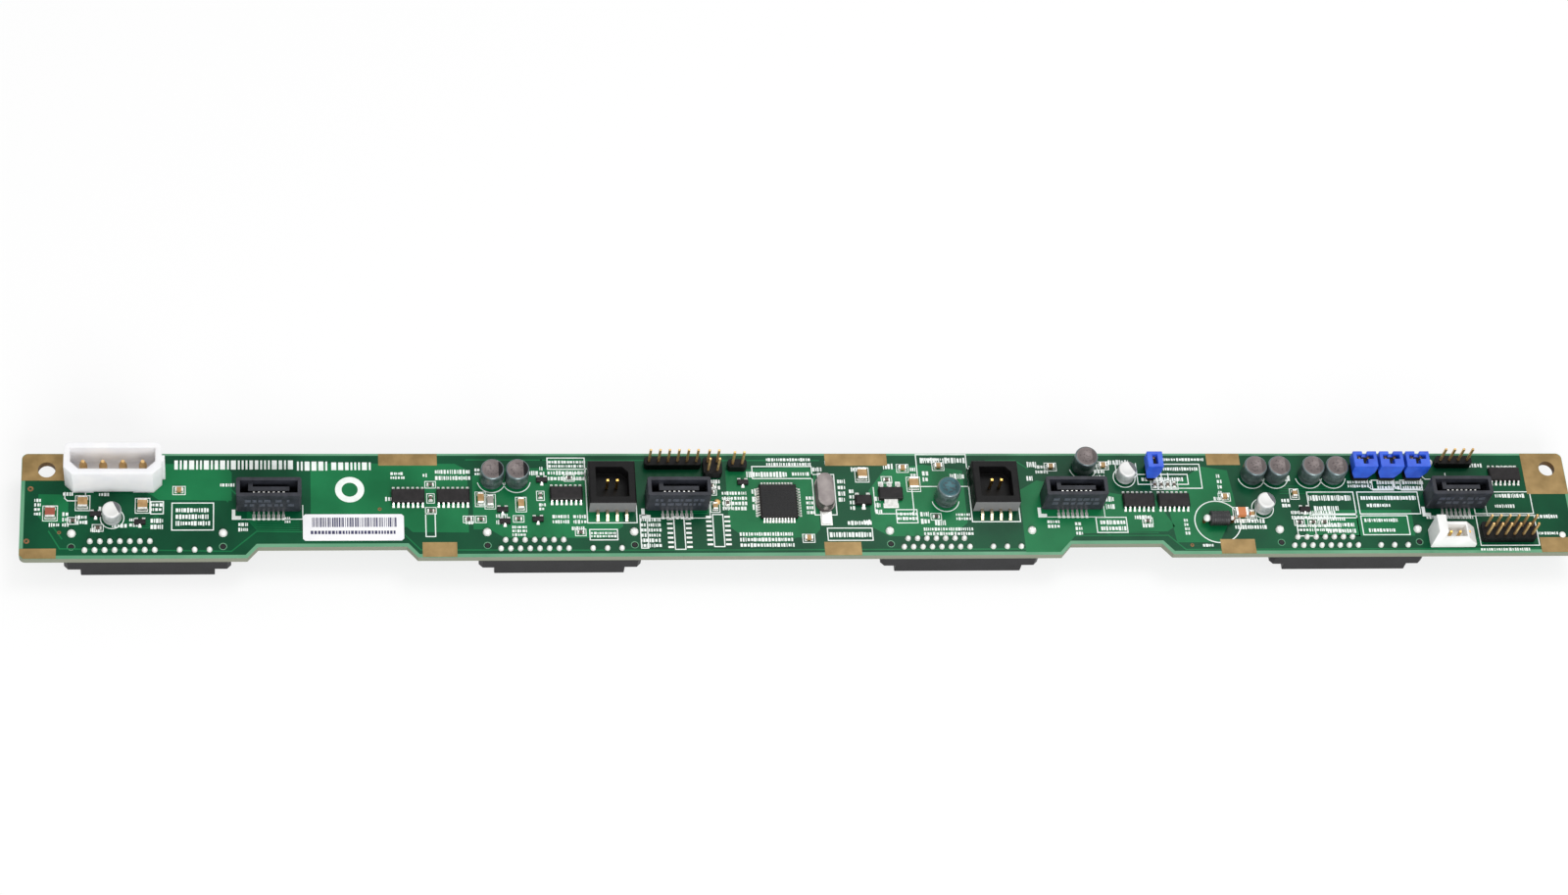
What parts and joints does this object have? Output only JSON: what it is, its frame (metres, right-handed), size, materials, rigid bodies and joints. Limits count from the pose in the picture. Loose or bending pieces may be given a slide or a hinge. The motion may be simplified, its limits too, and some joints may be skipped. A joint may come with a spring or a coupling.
{
  "type": "drive backplane board",
  "caption": "Long narrow server drive backplane board with drive receptacles on its rear and power, data, header and capacitor parts on its face.",
  "frame": {"origin": "midway between the two mounting holes, on the rear face of the board", "axes": "+X along the board towards the wire connector end, +Y up to the edge beside the mounting holes, +Z out of the component side"},
  "size_m": [0.4177, 0.031, 0.0204],
  "materials": {
    "laminate": "green solder mask with copper tracks under it",
    "bare_pads": "flat gold-tan metal finish",
    "black_housing": "moulded black nylon",
    "tinned_metal": "bright tin",
    "gold_contacts": "thin gold plating",
    "cream_housing": "slightly translucent cream nylon",
    "brass_pins": "plain brass",
    "can_metal": "satin can with a dull sleeve",
    "pale_can": "pale satin can",
    "chip_resin": "fine-textured moulding resin",
    "crystal_metal": "dark satin can",
    "capacitor_ceramic": "unglazed tan ceramic",
    "resistor_ceramic": "dark glazed top",
    "blue_cap": "bright blue moulding",
    "white_housing": "white nylon",
    "choke_ferrite": "black sleeve",
    "copper_lead": "dull copper",
    "label_paper": "coated white paper"
  },
  "bodies": {
    "root": {"can_capacitors": "can_metal", "chip_capacitors": "capacitor_ceramic", "chip_part_caps": "tinned_metal", "chip_resistors": "resistor_ceramic", "choke_body": "choke_ferrite", "choke_leads": "copper_lead", "circuit_board": "laminate", "controller_chip": "chip_resin", "controller_legs": "tinned_metal", "crystal_can": "crystal_metal", "crystal_pads": "tinned_metal", "data_port_1": "black_housing", "data_port_2": "black_housing", "data_port_3": "black_housing", "data_port_4": "black_housing", "data_port_contacts_1": "gold_contacts", "data_port_contacts_2": "gold_contacts", "data_port_contacts_3": "gold_contacts", "data_port_contacts_4": "gold_contacts", "drive_contacts_1": "gold_contacts", "drive_contacts_2": "gold_contacts", "drive_contacts_3": "gold_contacts", "drive_contacts_4": "gold_contacts", "drive_receptacle_1": "black_housing", "drive_receptacle_2": "black_housing", "drive_receptacle_3": "black_housing", "drive_receptacle_4": "black_housing", "ground_pads": "bare_pads", "header_pins": "gold_contacts", "jumper_cap_1": "blue_cap", "jumper_cap_2": "blue_cap", "jumper_cap_3": "blue_cap", "jumper_cap_4": "blue_cap", "jumper_headers": "black_housing", "jumper_pins": "gold_contacts", "logic_chip_legs": "tinned_metal", "logic_chips": "chip_resin", "paper_label": "label_paper", "pin_header_1": "black_housing", "pin_header_2": "black_housing", "pin_header_3": "black_housing", "pin_header_4": "black_housing", "pin_header_5": "black_housing", "power_inlet_housing": "cream_housing", "power_inlet_pins": "brass_pins", "receptacle_locks": "tinned_metal", "regulator_body": "chip_resin", "regulator_legs": "tinned_metal", "sideband_header_1": "black_housing", "sideband_header_2": "black_housing", "sideband_pins_1": "gold_contacts", "sideband_pins_2": "gold_contacts", "small_can_capacitors": "pale_can", "small_regulator_body": "chip_resin", "small_regulator_legs": "tinned_metal", "small_transistor_legs": "tinned_metal", "small_transistors": "chip_resin", "wire_connector": "white_housing", "wire_contacts": "tinned_metal"}
  },
  "joints": []
}
